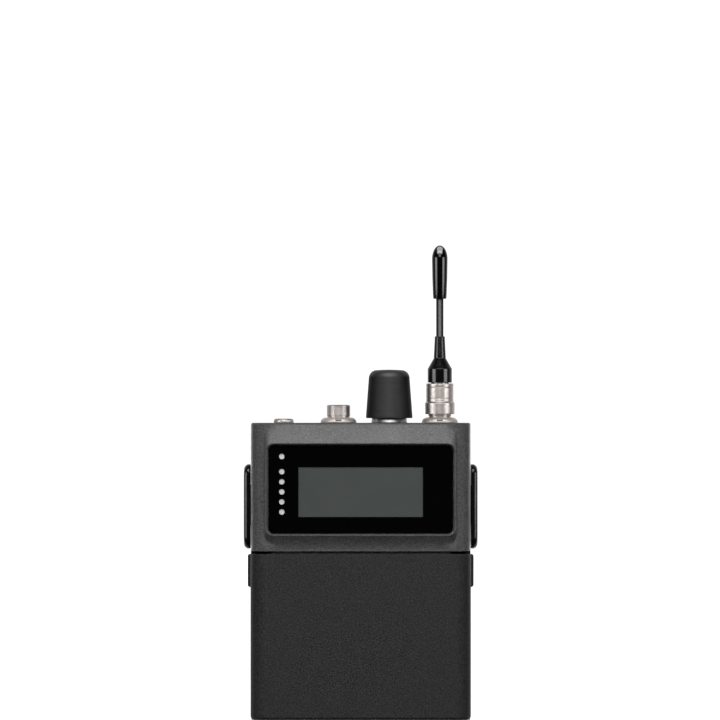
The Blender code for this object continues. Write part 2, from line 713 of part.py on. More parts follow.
def make_antenna_plug():
    """The antenna's metal core: a sleeve for the socket, a flange that the nut bears on, a ferrule."""
    profile = [(0, 92.3), (0.75, 92.3), (0.75, 88.9), (2.2, 88.9), (2.2, 93.9), (3.35, 93.9), (3.35, 94.9)]
    profile += [(2.6, 94.9), (2.6, 100.8), (0, 100.8)]
    return turned("antenna_plug", profile, (ANTENNA_X, 0), "nickel", 24)


def make_antenna_nut():
    """The coupling nut: a wide grip band below, and a waist between two rims above."""
    profile = [(3.65, 89.1), (4.2, 89.1), (4.33, 89.25), (4.33, 92.3), (4.0, 92.75), (4.0, 93.8)]
    profile += [(3.94, 93.9), (3.94, 96.9), (4.0, 97.0), (4.0, 97.95), (3.85, 98.1)]
    profile += [(2.85, 98.1), (2.85, 95.2), (3.65, 95.2)]
    return turned("antenna_nut", profile, (ANTENNA_X, 0), "nickel")


def make_antenna_boot():
    """The stepped sleeve at the antenna's foot, hollow for the core's ferrule and for the whip."""
    profile = [(0, 101.1), (2.72, 101.1), (2.72, 98.3), (3.45, 98.3), (3.55, 98.5), (3.55, 102.0)]
    profile += [(3.45, 102.7), (2.4, 104.6), (1.85, 105.8), (1.75, 106.6), (1.48, 111.6), (1.3, 111.8)]
    profile += [(1.2, 111.8), (1.2, 104.0), (0, 104.0)]
    return turned("antenna_boot", profile, (ANTENNA_X, 0), "gloss_black", 28)


def make_antenna_whip():
    profile = [(0, 104.2), (1.06, 104.2), (1.06, 128.0), (0, 128.0)]
    return turned("antenna_whip", profile, (ANTENNA_X, 0), "gloss_black", 16)


def make_antenna_tip():
    """The round-nosed cap, widest near its top."""
    nose = arc((0, 0), 1.0, 0, 90, 8)
    profile = [(1.2, 128.3), (1.2, 122.7), (1.85, 122.7), (2.0, 122.95), (2.12, 126.5), (2.25, 131.0)]
    profile += [(2.29 * u, 134.3 + 4.0 * v) for u, v in nose[:-1]] + [(0, 138.3)]
    return turned("antenna_tip", [(0, 128.3)] + profile, (ANTENNA_X, 0), "gloss_black", 28)


# Belt clip -------------------------------------------------------------------------------------------


def clip_cheek(name, side):
    """The rounded side plate with the pivot, drawn out to the back where the band leaves it."""
    outline = arc((-1.0, 52.95), 3.0, 180, 270, 5)
    outline += arc((8.0, 53.45), 3.5, 270, 360, 5)
    outline += arc((8.0, 71.05), 3.5, 0, 90, 5)
    outline += arc((-1.5, 72.05), 2.5, 90, 180, 5)
    centre = (3.5, PIVOT_Z)
    near, far = CLIP_SPAN_X

    def ring(share):
        return [tuple(c + (p - c) * share for p, c in zip(point, centre)) for point in outline]

    rounding = ((near, 0.985), (near + 0.3, 1.0), (far - 1.2, 1.0), (far - 0.75, 0.985), (far - 0.35, 0.955),
                (far - 0.1, 0.915), (far, 0.86))
    return stack(name, "X", [(side * at, ring(share)) for at, share in rounding])


def clip_band():
    """The band from cheek to cheek behind the body."""
    near, far = CLIP_SPAN_X[0] + 0.15, CLIP_SPAN_X[1] - 0.15
    face, back = CLIP_BACK_Y
    front, outer_r, inner_r = 2.0, 5.0, 3.6
    outer = arc((far - outer_r, back - outer_r), outer_r, 0, 90, 6)
    outer += arc((outer_r - far, back - outer_r), outer_r, 90, 180, 6)
    inner = arc((inner_r - near, face - inner_r), inner_r, 180, 90, 6)
    inner += arc((near - inner_r, face - inner_r), inner_r, 90, 0, 6)
    outline = [(far, front)] + outer + [(-far, front), (-near, front)] + inner + [(near, front)]
    return prism("belt_clip", "Z", (56.5, 68.5), outline, "gloss_black")


def clip_tongue():
    """The tongue that slides over the belt, with a lip turned out at its lower end. Points are (y, z)."""
    inner = [(15.0, 60.0), (15.0, 52.0), (14.0, 34.0), (11.2, 17.0), (10.7, 14.5), (11.3, 12.2), (13.6, 10.2)]
    outer = [(14.6, 11.2), (12.6, 13.0), (12.0, 14.6), (12.6, 17.0), (15.4, 34.0), (16.4, 52.0), (16.4, 60.0)]
    return prism("clip_tongue", "X", (-11.5, 11.5), inner + outer)


def clip_pin(name, side):
    return prism(name, "X", side_span(side, 29.5, 32.8), circle(1.3, (PIVOT_Y, PIVOT_Z), 16))


def make_belt_clip():
    """One sprung piece: two side cheeks with pivot pins, a band behind the body and a tongue for the belt."""
    clip = clip_band()
    join(clip, clip_tongue())
    join(clip, *both_sides("clip_cheek", clip_cheek))
    join(clip, *both_sides("clip_pin", clip_pin))
    return clip


# Assembly --------------------------------------------------------------------------------------------


def clear_scene():
    for old in list(bpy.data.objects):
        bpy.data.objects.remove(old, do_unlink=True)


def make_fixed_parts():
    make_chassis()
    make_rear_plate()
    for number, (x, z) in enumerate(PLATE_SCREWS):
        make_plate_screw(number, x, z)
    both_sides("hinge_pin", make_hinge_pin)
    make_battery()
    make_battery_terminals()
    make_contact_block()
    for number, x in enumerate(CONTACT_XS):
        make_contact_pin(number, x)
    for number, x in enumerate(CHARGE_XS):
        make_charge_contact(number, x)
    make_window_lens()
    make_lens_gasket()
    make_light_guide()
    make_display_panel()
    make_display_ribbon()
    make_main_board()
    for number, place in enumerate(BOARD_SCREWS):
        make_board_screw(number, place)
    make_shield_can()
    make_antenna_coax()


def make_top_parts():
    make_jack_collar()
    make_headphone_jack()
    make_ring_nut("mic_ring_nut", MIC_X, 3.75)
    make_mic_shell()
    make_mic_insulator()
    for number, place in enumerate(mic_contact_places()):
        make_mic_contact(number, place)
    make_knob_collar()
    make_knob_seal()
    make_encoder_body()
    make_ring_nut("antenna_ring_nut", ANTENNA_X, 3.75)
    make_antenna_socket()
    make_antenna_insulator()
    make_antenna_pin()


def make_moving_parts():
    """Each moving piece hangs on an empty at its joint's axis."""
    hinge = rides_on(("door_pivot", (0, HINGE_Y, HINGE_Z)), make_door())
    for side, name in ((-1, "latch_left"), (1, "latch_right")):
        middle = (side * LATCH_OUTER_X, -1.35, 43.6)
        rides_on((f"{name}_slide", middle), make_latch(side), parent=hinge)
        spring = make_latch_spring(side)
        spring.parent = hinge
        spring.location = -hinge.location
    press = rides_on(("knob_press_slide", (KNOB_X, 0, 77.2)), make_encoder_plunger())
    rides_on(("knob_axis", (KNOB_X, 0, 87.95)), make_knob(), make_knob_shaft(), parent=press)
    antenna_parts = (make_antenna_plug(), make_antenna_boot(), make_antenna_whip(), make_antenna_tip())
    lift = rides_on(("antenna_lift_slide", (ANTENNA_X, 0, 88.9)), *antenna_parts)
    rides_on(("antenna_nut_axis", (ANTENNA_X, 0, 89.1)), make_antenna_nut(), parent=lift)
    rides_on(("clip_pivot", (0, PIVOT_Y, PIVOT_Z)), make_belt_clip())


clear_scene()
make_fixed_parts()
make_top_parts()
make_moving_parts()
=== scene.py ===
"""Looks for the wireless bodypack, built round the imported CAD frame.

Flat-sided CAD nodes stay and get fine edges and procedural materials. The turned parts, the latch
springs, the display window and the printed mask behind it are new pieces with finer meshes than the
CAD's. Lengths are in millimetres, and MM turns them into metres where a mesh is made.
"""

import json
import math

import bmesh
import bpy
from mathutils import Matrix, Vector


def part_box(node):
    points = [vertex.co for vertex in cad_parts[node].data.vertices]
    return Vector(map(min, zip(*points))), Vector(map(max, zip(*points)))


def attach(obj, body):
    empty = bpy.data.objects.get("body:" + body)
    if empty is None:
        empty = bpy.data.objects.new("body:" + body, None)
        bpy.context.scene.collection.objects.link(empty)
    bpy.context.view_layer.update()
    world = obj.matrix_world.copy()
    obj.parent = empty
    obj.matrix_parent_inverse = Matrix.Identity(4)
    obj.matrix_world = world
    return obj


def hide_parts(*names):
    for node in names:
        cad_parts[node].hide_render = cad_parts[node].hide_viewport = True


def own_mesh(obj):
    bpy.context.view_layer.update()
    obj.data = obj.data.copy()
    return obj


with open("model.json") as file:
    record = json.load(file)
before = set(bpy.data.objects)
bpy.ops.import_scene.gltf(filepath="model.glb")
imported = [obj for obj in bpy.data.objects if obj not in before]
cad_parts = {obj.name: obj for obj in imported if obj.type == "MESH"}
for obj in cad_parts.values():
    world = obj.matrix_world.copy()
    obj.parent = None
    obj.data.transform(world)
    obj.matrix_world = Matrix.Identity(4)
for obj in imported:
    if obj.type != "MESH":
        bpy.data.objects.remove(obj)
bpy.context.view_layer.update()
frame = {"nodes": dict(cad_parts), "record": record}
MM = 0.001

# The camera stands far off with a long lens, level, and sees a square of this size near the mid plane
LENS, SENSOR = 800.0, 36.0
PICTURE_MM = 209.7
PICTURE_PLANE_Y = -2.0
PICTURE_CENTRE = (-0.2, 104.9)

FLOOR_Z = -25.0  # below the open battery door

# Display window: the visible screen and the status dots, measured from the lens's middle
SCREEN_HALF = (18.1, 7.23)
SCREEN_OFFSET_Z = -0.75
DOT_R = 0.8
GLASS_THICK = 0.62

# Threaded collars on the top panel
THREAD_PITCH, THREAD_DEPTH = 0.5, 0.025
THREAD_R = {"mic_shell": 3.45, "antenna_socket": 3.35}

SLOT_HALF_W = 0.88  # spanner slots of the ring nuts

# Latch springs
SPRING_WIRE_R, SPRING_TURNS = 0.2, 4

SHARP_DEGREES = 32  # edges sharper than this stay sharp in the shading
TURNED_SEGMENTS = 144

LIGHT_DISTANCE = 2.0  # metres from the pack
LIGHT_AIM_Z = 70.0

# Backdrop: its light on the part rises with how far a direction points away from the camera
BACKDROP_DARK_Y, BACKDROP_RISE, BACKDROP_LEAST = -0.25, 1.5, 0.012
BACKDROP_SEEN = 1.1


# Places in the frame -----------------------------------------------------------------------------


def span(node, axis):
    """The first and last place of a CAD node along an axis, in millimetres."""
    low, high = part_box(node)
    index = "xyz".index(axis)
    return low[index] / MM, high[index] / MM


def middle(node):
    low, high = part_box(node)
    return (low + high) / 2 / MM


def outer_radius(node):
    first, last = span(node, "x")
    return (last - first) / 2


# Outlines ----------------------------------------------------------------------------------------


def arc(centre, radius, first, last, steps):
    """Points on an arc, from angle first to angle last in degrees."""
    angles = [math.radians(first + (last - first) * i / steps) for i in range(steps + 1)]
    return [(centre[0] + radius * math.cos(a), centre[1] + radius * math.sin(a)) for a in angles]


def rounded_rect(half_w, half_h, radius, centre, steps=10):
    points = []
    for quarter, (side_u, side_v) in enumerate(((1, 1), (-1, 1), (-1, -1), (1, -1))):
        corner = (centre[0] + side_u * (half_w - radius), centre[1] + side_v * (half_h - radius))
        points += arc(corner, radius, 90 * quarter, 90 * quarter + 90, steps)
    return points


def softened(profile, radius, steps=4):
    """The profile with every corner between its two ends replaced by a short curve."""
    points = [Vector(p) for p in profile]
    soft = [tuple(points[0])]
    for before, corner, after in zip(points, points[1:], points[2:]):
        back, ahead = before - corner, after - corner
        reach = min(radius, 0.45 * back.length, 0.45 * ahead.length)
        start = corner + back.normalized() * reach
        end = corner + ahead.normalized() * reach
        for i in range(steps + 1):
            t = i / steps
            soft.append(tuple(start * (1 - t) ** 2 + corner * 2 * t * (1 - t) + end * t ** 2))
    soft.append(tuple(points[-1]))
    return soft


def divided(profile, step, first, last):
    """The profile with points no further apart than step between the heights first and last."""
    dense = [profile[0]]
    for (r0, z0), (r1, z1) in zip(profile, profile[1:]):
        inside = min(z0, z1) >= first and max(z0, z1) <= last
        count = max(1, math.ceil(math.hypot(r1 - r0, z1 - z0) / step)) if inside else 1
        shares = [i / count for i in range(1, count + 1)]
        dense += [(r0 + (r1 - r0) * share, z0 + (z1 - z0) * share) for share in shares]
    return dense


# Pieces ------------------------------------------------------------------------------------------


def shade_large_faces_flat(piece):
    """Leaves the rounding of the shading to the small faces next to a large one."""
    modifier = piece.modifiers.new("weighted_normals", "WEIGHTED_NORMAL")
    modifier.keep_sharp = True


def add_piece(name, shape, look, body, replaced=()):
    """Makes a shown piece from a bmesh in millimetres, which rides on a body."""
    bmesh.ops.recalc_face_normals(shape, faces=shape.faces)
    bmesh.ops.scale(shape, vec=(MM, MM, MM), verts=shape.verts)
    mesh = bpy.data.meshes.new(name)
    shape.to_mesh(mesh)
    shape.free()
    mesh.materials.append(look)
    mesh.shade_smooth()
    mesh.set_sharp_from_angle(angle=math.radians(SHARP_DEGREES))
    piece = bpy.data.objects.new(name, mesh)
    bpy.context.scene.collection.objects.link(piece)
    shade_large_faces_flat(piece)
    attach(piece, body)
    if replaced:
        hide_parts(*replaced)
    return piece


def lathe(profile, centre, segments=128, relief=None):
    """A bmesh turned from a (radius, z) profile, which starts and ends on the axis or else closes on itself.

    relief(angle, radius, z) is added to the radius.
    """
    shape = bmesh.new()
    rings = []
    for radius, z in profile:
        if radius < 1e-6:
            rings.append([shape.verts.new((centre[0], centre[1], z))])
            continue
        ring = []
        for i in range(segments):
            angle = math.tau * i / segments
            r = radius + (relief(angle, radius, z) if relief else 0.0)
            place = (centre[0] + r * math.cos(angle), centre[1] + r * math.sin(angle), z)
            ring.append(shape.verts.new(place))
        rings.append(ring)
    if len(rings[0]) > 1:
        rings.append(rings[0])
    for low, high in zip(rings, rings[1:]):
        bridge(shape, low, high)
    return shape


def bridge(shape, low, high):
    """Faces between two rings of vertices. A ring of one vertex is a pole."""
    count = max(len(low), len(high))
    for i in range(count):
        j = (i + 1) % count
        if len(low) == 1:
            shape.faces.new((low[0], high[i], high[j]))
        elif len(high) == 1:
            shape.faces.new((low[i], low[j], high[0]))
        else:
            shape.faces.new((low[i], low[j], high[j], high[i]))


def skin(shape, rings):
    """Closes a bmesh over a row of rings, with a face at each end."""
    for low, high in zip(rings, rings[1:]):
        bridge(shape, low, high)
    shape.faces.new(rings[0])
    shape.faces.new(rings[-1])


def slab(sections):
    """A bmesh through (y, outline) sections, each outline a list of (x, z)."""
    shape = bmesh.new()
    skin(shape, [[shape.verts.new((x, y, z)) for x, z in outline] for y, outline in sections])
    return shape


def coil(centre, first, last, coil_r):
    """A bmesh of round wire, wound along X from first to last."""
    steps, wire_sides = SPRING_TURNS * 36, 12
    rise = (last - first) / (math.tau * SPRING_TURNS)
    shape = bmesh.new()
    rings = []
    for i in range(steps + 1):
        angle = math.tau * SPRING_TURNS * i / steps
        outward = Vector((0.0, math.cos(angle), math.sin(angle)))
        along = Vector((rise, -coil_r * math.sin(angle), coil_r * math.cos(angle))).normalized()
        across = along.cross(outward)
        place = Vector((first + (last - first) * i / steps, centre.y, centre.z)) + outward * coil_r
        ring = []
        for j in range(wire_sides):
            turn = math.tau * j / wire_sides
            spoke = outward * math.cos(turn) + across * math.sin(turn)
            ring.append(shape.verts.new(place + spoke * SPRING_WIRE_R))
        rings.append(ring)
    skin(shape, rings)
    return shape


def carve(piece, cutters, look):
    """Cuts bmesh cutters, in millimetres, out of a piece, and gives the cut faces a look."""
    for cutter in cutters:
        bmesh.ops.recalc_face_normals(cutter, faces=cutter.faces)
        bmesh.ops.scale(cutter, vec=(MM, MM, MM), verts=cutter.verts)
        mesh = bpy.data.meshes.new("cutter")
        cutter.to_mesh(mesh)
        cutter.free()
        mesh.materials.append(look)
        tool = bpy.data.objects.new("cutter", mesh)
        bpy.context.scene.collection.objects.link(tool)
        modifier = piece.modifiers.new("cut", "BOOLEAN")
        modifier.operation = "DIFFERENCE"
        modifier.solver = "EXACT"
        modifier.material_mode = "TRANSFER"
        modifier.object = tool
        graph = bpy.context.evaluated_depsgraph_get()
        result = bpy.data.meshes.new_from_object(piece.evaluated_get(graph))
        piece.modifiers.clear()
        piece.data = result
        bpy.data.objects.remove(tool)
    piece.data.shade_smooth()
    piece.data.set_sharp_from_angle(angle=math.radians(SHARP_DEGREES))
    shade_large_faces_flat(piece)


def block(span_x, span_y, span_z):
    """A bmesh of a plain box, used to cut with."""
    (left, right), (low, high) = span_x, span_z
    outline = [(left, low), (right, low), (right, high), (left, high)]
    return slab([(span_y[0], outline), (span_y[1], outline)])


# Node-based looks --------------------------------------------------------------------------------


class Look:
    """A material under construction, with short calls for the nodes it uses."""

    def __init__(self, name, colour, roughness, metallic=0.0, **inputs):
        self.material = bpy.data.materials.new(name)
        self.material.use_nodes = True
        self.tree = self.material.node_tree
        self.shader = self.tree.nodes["Principled BSDF"]
        self.shader.inputs["Base Color"].default_value = (*colour, 1.0)
        self.shader.inputs["Roughness"].default_value = roughness
        self.shader.inputs["Metallic"].default_value = metallic
        for key, value in inputs.items():
            self.shader.inputs[key.replace("_", " ")].default_value = value
        self.place = self.tree.nodes.new("ShaderNodeTexCoord").outputs["Object"]

    def node(self, kind, inputs=(), **settings):
        made = self.tree.nodes.new(kind)
        for key, value in settings.items():
            setattr(made, key, value)
        for key, value in dict(inputs).items():
            if isinstance(value, bpy.types.NodeSocket):
                self.tree.links.new(value, made.inputs[key])
            else:
                made.inputs[key].default_value = value
        return made

    def noise(self, size_mm, detail=2.0, stretch=(1, 1, 1), roughness=0.5):
        """Noise whose blobs are about size_mm wide, in 0 to 1."""
        scaled = self.node("ShaderNodeMapping", {"Vector": self.place, "Scale": stretch})
        inputs = {"Vector": scaled.outputs["Vector"], "Scale": 1 / (size_mm * MM)}
        inputs |= {"Detail": detail, "Roughness": roughness}
        return self.node("ShaderNodeTexNoise", inputs).outputs["Fac"]

    def span(self, value, low, high, to_low, to_high):
        """Value, clamped and moved from the range low to high into the range to_low to to_high."""
        inputs = {"Value": value, "From Min": low, "From Max": high}
        inputs |= {"To Min": to_low, "To Max": to_high}
        return self.node("ShaderNodeMapRange", inputs).outputs["Result"]

    def maths(self, operation, a, b=0.0):
        return self.node("ShaderNodeMath", {0: a, 1: b}, operation=operation).outputs[0]

    def mix(self, factor, a, b):
        made = self.node("ShaderNodeMix", data_type="RGBA")
        for index, value in ((0, factor), (6, a), (7, b)):
            if isinstance(value, bpy.types.NodeSocket):
                self.tree.links.new(value, made.inputs[index])
            else:
                made.inputs[index].default_value = value
        return made.outputs[2]

    def set(self, name, value):
        self.tree.links.new(value, self.shader.inputs[name])

    def bump(self, height, depth_mm, strength=1.0):
        """Bumps of up to depth_mm where height runs from 0 to 1."""
        inputs = {"Height": height, "Distance": depth_mm * MM, "Strength": strength}
        self.set("Normal", self.node("ShaderNodeBump", inputs).outputs["Normal"])

    def edges(self, radius_mm):
        """1 on sharp edges and 0 on flat faces."""
        soft = self.node("ShaderNodeBevel", {"Radius": radius_mm * MM}, samples=4).outputs["Normal"]
        true = self.node("ShaderNodeNewGeometry").outputs["Normal"]
        match = self.node("ShaderNodeVectorMath", {0: soft, 1: true}, operation="DOT_PRODUCT")
        return self.span(match.outputs["Value"], 0.995, 0.8, 0.0, 1.0)


def grey(value):
    return (value, value, value, 1.0)


def housing_paint():
    """Dark paint with a fine powdery grain, a little brighter at the edges: partly rubbed paint, partly a
    painted highlight.
    """
    look = Look("housing_paint", (0.05, 0.05, 0.05), 0.46, 0.1)
    grain = look.noise(0.42, 3.0, roughness=0.75)
    flakes = look.noise(0.3, 1.0)
    tone = look.mix(look.span(grain, 0.38, 0.62, 0.0, 1.0), grey(0.03), grey(0.094))
    tone = look.mix(look.span(flakes, 0.56, 0.72, 0.0, 0.5), tone, grey(0.17))
    # Lighter edges: partly rubbed paint, partly a painted edge highlight.
    rubbed_edge_and_painted_highlight = look.maths("MULTIPLY", look.edges(0.12), 0.35)
    look.set("Base Color", look.mix(rubbed_edge_and_painted_highlight, tone, grey(0.14)))
    look.set("Roughness", look.span(look.noise(6.0, 3.0), 0.3, 0.7, 0.42, 0.5))
    look.bump(look.maths("ADD", grain, look.maths("MULTIPLY", flakes, 0.5)), 0.05)
    return look.material


def door_plastic():
    """Black moulded plastic with an even eroded grain."""
    look = Look("door_plastic", (0.012, 0.012, 0.012), 0.52, Specular_IOR_Level=0.38)
    grain = look.noise(0.5, 3.0, roughness=0.7)
    tone = look.mix(look.span(grain, 0.4, 0.62, 0.0, 1.0), grey(0.0035), grey(0.0205))
    # Lighter edges: partly rubbed plastic, partly a painted edge highlight.
    rubbed_edge_and_painted_highlight = look.maths("MULTIPLY", look.edges(0.15), 0.3)
    look.set("Base Color", look.mix(rubbed_edge_and_painted_highlight, tone, grey(0.09)))
    look.set("Roughness", look.span(look.noise(5.0, 3.0), 0.3, 0.7, 0.46, 0.56))
    look.bump(grain, 0.07)
    return look.material


def soft_touch():
    """Rubbery coating of the knob, with the faint lines of its mould. Its sides are painted darker, with
    less specular there: painted shade.
    """
    look = Look("soft_touch", (0.007, 0.007, 0.007), 0.5)
    lines = look.noise(0.45, 2.0, stretch=(0.06, 0.06, 1.0))
    dust = look.noise(0.12, 2.0)
    normal = look.node("ShaderNodeNewGeometry").outputs["Normal"]
    normal_z = look.node("ShaderNodeSeparateXYZ", {0: normal}).outputs["Z"]
    upright = look.span(normal_z, 0.07, 0.35, 1.0, 0.0)
    facing = look.node("ShaderNodeLayerWeight", {"Blend": 0.5}).outputs["Facing"]
    # Painted shade: the upright sides, turned away from the eye, get a darker colour and weaker specular.
    painted_side_shade = look.maths("MULTIPLY", facing, upright)
    tone = look.mix(look.span(lines, 0.35, 0.7, 0.0, 1.0), grey(0.005), grey(0.0095))
    look.set("Base Color", look.mix(look.span(painted_side_shade, 0.0, 0.45, 0.0, 1.0), tone, grey(0.002)))
    look.set("Specular IOR Level", look.span(painted_side_shade, 0.0, 0.45, 0.5, 0.12))
    look.set("Roughness", look.span(look.noise(3.0, 2.0), 0.3, 0.7, 0.47, 0.54))
    look.bump(look.maths("ADD", lines, dust), 0.02)
    return look.material


def plain_plastic(name, tone, roughness):
    """Plain moulded plastic of the inner parts, with flow marks and a light grain."""
    look = Look(name, (tone, tone, tone), roughness)
    flow = look.noise(4.0, 3.0, stretch=(1, 1, 0.3))
    look.set("Base Color", look.mix(flow, grey(tone * 0.8), grey(tone * 1.25)))
    patches = look.noise(1.5, 3.0)
    look.set("Roughness", look.span(patches, 0.3, 0.7, roughness - 0.06, roughness + 0.08))
    look.bump(look.noise(0.2, 2.0), 0.012)
    return look.material


def gloss_black(name, tone, dent, polish):
    """Polished black moulding with sink marks of depth dent, as rough as polish or up to 0.1 more."""
    look = Look(name, (tone, tone, tone * 1.1), polish)
    prints = look.noise(2.5, 4.0, roughness=0.6)
    look.set("Roughness", look.span(prints, 0.35, 0.75, polish, polish + 0.1))
    # Lighter edges are a painted edge highlight.
    look.set("Base Color", look.mix(look.edges(0.1), (tone, tone, tone * 1.1, 1.0), grey(tone * 5)))
    look.bump(look.noise(1.6, 1.0), dent)
    return look.material


def turned_metal(name, colour, roughness):
    """Turned metal: rings left by the tool run round the part and spread highlights up and down it."""
    look = Look(name, colour, roughness, 1.0, Anisotropic=0.15, Anisotropic_Rotation=0.25)
    around = look.node("ShaderNodeTangent", direction_type="RADIAL", axis="Z").outputs[0]
    look.set("Tangent", around)
    rings = look.noise(0.5, 3.0, stretch=(0.02, 0.02, 1.5))
    mottle = look.noise(2.2, 3.0)
    dark = tuple(c * 0.9 for c in colour)
    look.set("Base Color", look.mix(look.span(rings, 0.3, 0.6, 0.0, 1.0), (*dark, 1.0), (*colour, 1.0)))
    wear = look.maths("ADD", rings, mottle)
    look.set("Roughness", look.span(wear, 0.7, 1.3, roughness - 0.03, roughness + 0.04))
    look.bump(look.noise(0.5, 3.0, stretch=(0.02, 0.02, 8.0)), 0.0007)
    return look.material


def whip_coating():
    """Satin black coating with a painted sheen: light grey along the side turned to the eye, near black
    where the whip turns away.
    """
    look = Look("whip_coating", (0.1, 0.1, 0.1), 0.5, Specular_IOR_Level=0.3)
    painted_side_shade = look.node("ShaderNodeLayerWeight", {"Blend": 0.5}).outputs["Facing"]
    painted_sheen = look.mix(look.noise(0.5, 3.0, stretch=(1.0, 1.0, 0.15)), grey(0.18), grey(0.225))
    # Painted sheen where the whip faces the eye, painted shade where it turns away.
    look.set("Base Color", look.mix(look.span(painted_side_shade, 0.01, 0.11, 0.0, 1.0), painted_sheen, grey(0.012)))
    look.bump(look.noise(0.4, 2.0, stretch=(1.0, 1.0, 0.1)), 0.0005)
    return look.material


def fine_metal(name, colour, roughness):
    """Stamped or drawn metal with short scratches."""
    look = Look(name, colour, roughness, 1.0)
    scratches = look.noise(0.25, 3.0, stretch=(0.08, 1, 1))
    bright = tuple(min(1.0, c * 1.15) for c in colour)
    look.set("Base Color", look.mix(scratches, (*colour, 1.0), (*bright, 1.0)))
    patches = look.noise(1.2, 3.0)
    look.set("Roughness", look.span(patches, 0.3, 0.7, roughness - 0.06, roughness + 0.1))
    look.bump(scratches, 0.004)
    return look.material


def window_glass():
    """Clear glass that only reflects, so that what lies behind it is lit as if it weren't there."""
    look = Look("window_glass", (1.0, 1.0, 1.0), 0.02)
    tree = look.tree
    tree.nodes.remove(look.shader)
    smudge = look.span(look.noise(7.0, 4.0), 0.4, 0.8, 0.015, 0.05)
    gloss = look.node("ShaderNodeBsdfGlossy", {"Color": grey(1.0), "Roughness": smudge})
    clear = look.node("ShaderNodeBsdfTransparent", {"Color": grey(0.96)})
    share = look.node("ShaderNodeFresnel", {"IOR": 1.45}).outputs[0]
    inside = look.node("ShaderNodeNewGeometry").outputs["Backfacing"]
    share = look.maths("MULTIPLY", share, look.maths("SUBTRACT", 1.0, inside))
    both = look.node("ShaderNodeMixShader", {0: share, 1: clear.outputs[0], 2: gloss.outputs[0]})
    tree.links.new(both.outputs[0], tree.nodes["Material Output"].inputs["Surface"])
    return look.material


def printed_black():
    look = Look("printed_black", (0.0012, 0.0012, 0.0012), 0.6, Specular_IOR_Level=0.0)
    look.set("Base Color", look.mix(look.noise(0.4, 2.0), grey(0.0009), grey(0.0016)))
    look.bump(look.noise(0.1, 1.0), 0.002)
    return look.material


def screen_glass():
    """An unlit display: grey with a hint of green, faint rows and columns."""
    look = Look("screen_glass", (0.065, 0.072, 0.07), 0.3)
    axes = look.node("ShaderNodeSeparateXYZ", {0: look.place})
    lines = []
    for axis in ("X", "Z"):
        cells = look.maths("FRACT", look.maths("MULTIPLY", axes.outputs[axis], 1 / (0.28 * MM)))
        lines.append(look.span(cells, 0.0, 0.16, 1.0, 0.0))
    grid = look.maths("MAXIMUM", *lines)
    lines_share = look.maths("MULTIPLY", grid, 0.25)
    tone = look.mix(lines_share, (0.085, 0.096, 0.093, 1.0), (0.071, 0.081, 0.079, 1.0))
    haze = look.span(look.noise(14.0, 1.0), 0.3, 0.7, 0.0, 0.4)
    look.set("Base Color", look.mix(haze, tone, (0.089, 0.1, 0.097, 1.0)))
    look.set("Roughness", look.span(look.noise(6.0, 2.0), 0.3, 0.7, 0.28, 0.34))
    return look.material


def milky_clear():
    # Milky clear plastic of the status dots. The faint white emission is painted light: it makes the unlit
    # dots glow.
    look = Look("milky_clear", (0.75, 0.75, 0.75), 0.35, Emission_Strength=0.1)
    look.shader.inputs["Emission Color"].default_value = grey(1.0)
    look.set("Base Color", look.mix(look.noise(0.6, 2.0), grey(0.7), grey(0.8)))
    look.bump(look.noise(0.3, 1.0), 0.004)
    return look.material


def circuit_board():
    """Green board with lighter tracks and small pads."""
    look = Look("circuit_board", (0.01, 0.09, 0.04), 0.35)
    tracks = look.node("ShaderNodeTexBrick", {
        "Vector": look.place,
        "Scale": 1 / (3.0 * MM),
        "Mortar Size": 0.06,
        "Color1": grey(0.0),
        "Color2": grey(0.2),
        "Mortar": grey(1.0),
    })
    pads = look.node("ShaderNodeTexVoronoi", {"Vector": look.place, "Scale": 1 / (1.6 * MM)})
    dots = look.span(pads.outputs["Distance"], 0.14, 0.1, 0.0, 1.0)
    tracks_share = look.maths("MULTIPLY", tracks.outputs["Fac"], 0.6)
    tone = look.mix(tracks_share, (0.008, 0.075, 0.033, 1.0), (0.03, 0.16, 0.07, 1.0))
    look.set("Base Color", look.mix(dots, tone, (0.72, 0.6, 0.34, 1.0)))
    look.set("Metallic", look.maths("MULTIPLY", dots, 0.9))
    look.bump(tracks.outputs["Fac"], 0.02)
    return look.material


def rubber():
    look = Look("rubber", (0.014, 0.014, 0.014), 0.8)
    look.set("Base Color", look.mix(look.noise(0.8, 4.0), grey(0.01), grey(0.02)))
    look.bump(look.noise(0.15, 2.0), 0.015)
    return look.material


def battery_case():
    """Battery case: fine grain, with a slightly smoother plain label across its middle."""
    look = Look("battery_case", (0.05, 0.052, 0.055), 0.5)
    height = look.node("ShaderNodeSeparateXYZ", {0: look.place}).outputs["Z"]
    across = look.node("ShaderNodeSeparateXYZ", {0: look.place}).outputs["X"]
    above = look.span(height, 11.9 * MM, 12.1 * MM, 0.0, 1.0)
    below = look.span(height, 36.1 * MM, 35.9 * MM, 0.0, 1.0)
    beside = look.span(look.maths("ABSOLUTE", across), 20.1 * MM, 19.9 * MM, 0.0, 1.0)
    label = look.maths("MULTIPLY", look.maths("MULTIPLY", above, below), beside)
    grain = look.noise(0.25, 2.0)
    case = look.mix(grain, (0.04, 0.042, 0.045, 1.0), (0.06, 0.062, 0.066, 1.0))
    look.set("Base Color", look.mix(label, case, (0.33, 0.34, 0.35, 1.0)))
    look.set("Roughness", look.span(label, 0.0, 1.0, 0.52, 0.36))
    look.bump(look.maths("MULTIPLY", grain, look.span(label, 0.0, 1.0, 1.0, 0.2)), 0.02)
    return look.material


# CAD nodes that stay -----------------------------------------------------------------------------


